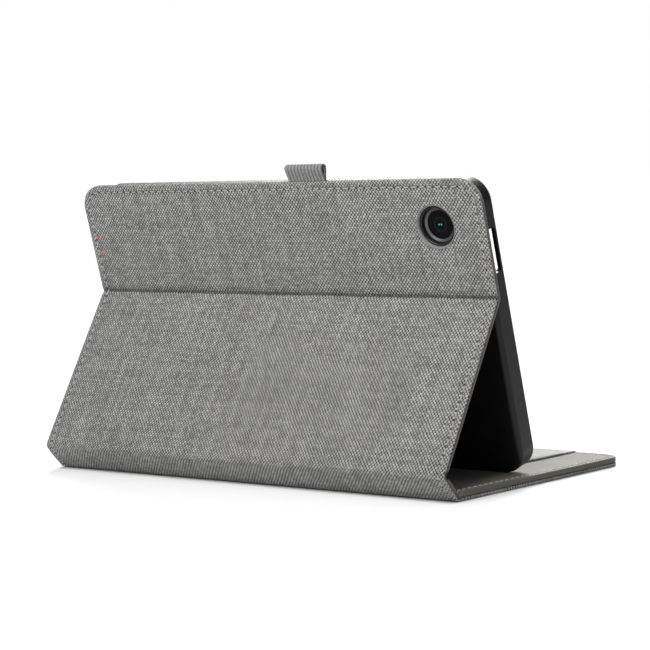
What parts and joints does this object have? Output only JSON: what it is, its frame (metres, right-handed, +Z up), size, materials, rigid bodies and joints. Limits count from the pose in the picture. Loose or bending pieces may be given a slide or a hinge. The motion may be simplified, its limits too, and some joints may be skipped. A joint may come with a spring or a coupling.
{
  "type": "tablet folio case",
  "caption": "Fabric folio case for a tablet, standing as a landscape stand: cover, spine, folding flap and back panel with a moulded shell, camera opening and pen loop.",
  "frame": {"origin": "on the table, under the middle of the standing case's bounding box", "axes": "+X along the folds, -Y towards the user and the screen side, +Z up"},
  "size_m": [0.223, 0.1413, 0.1369],
  "materials": {
    "heather_cloth": "woven heather-grey twill, matt",
    "lining": "taupe coated lining, soft satin grain",
    "board": "plain stiffener board",
    "shell_plastic": "fine satin black moulding",
    "magnet": "nickel-plated bar",
    "adhesive": "translucent sheet glue",
    "ring_metal": "black anodised, satin",
    "window_glass": "clear, polished",
    "barrel_plastic": "matt black",
    "lens_glass": "coated, teal reflection",
    "webbing": "ribbed elastic webbing",
    "accent_thread": "burnt-orange thread"
  },
  "bodies": {
    "front_cover": {"cover_cloth": "heather_cloth", "cover_board": "board", "cover_lining": "lining", "cover_magnets": "magnet", "document_pocket": "heather_cloth"},
    "spine": {"spine_cloth": "heather_cloth", "spine_board": "board", "spine_lining": "lining"},
    "flap": {"flap_cloth": "heather_cloth", "flap_board": "board", "flap_lining": "lining"},
    "back": {"back_cloth": "heather_cloth", "back_board": "board", "back_lining": "lining", "adhesive_sheet": "adhesive", "shell_frame": "shell_plastic", "shell_back": "shell_plastic", "camera_ring": "ring_metal", "camera_window": "window_glass", "camera_barrel": "barrel_plastic", "camera_lens": "lens_glass", "pen_loop": "webbing", "accent_tacks": "accent_thread"}
  },
  "joints": [
    {"name": "cover_fold", "type": "hinge", "parent": "front_cover", "child": "spine", "pos_m": [0, 0.06093, 0], "axis": [1, 0, 0], "range_deg": [-45.5, 0]},
    {"name": "spine_fold", "type": "hinge", "parent": "spine", "child": "flap", "pos_m": [0, 0.07152, 0.01077], "axis": [1, 0, 0], "range_deg": [-75.17, 0]},
    {"name": "crease_fold", "type": "hinge", "parent": "flap", "child": "back", "pos_m": [0, 0.03051, 0.07993], "axis": [1, 0, 0], "range_deg": [0, 46.07]}
  ],
  "couplings": [
    {"joint": "crease_fold", "follows": "spine_fold", "ratio": -0.61286}
  ]
}
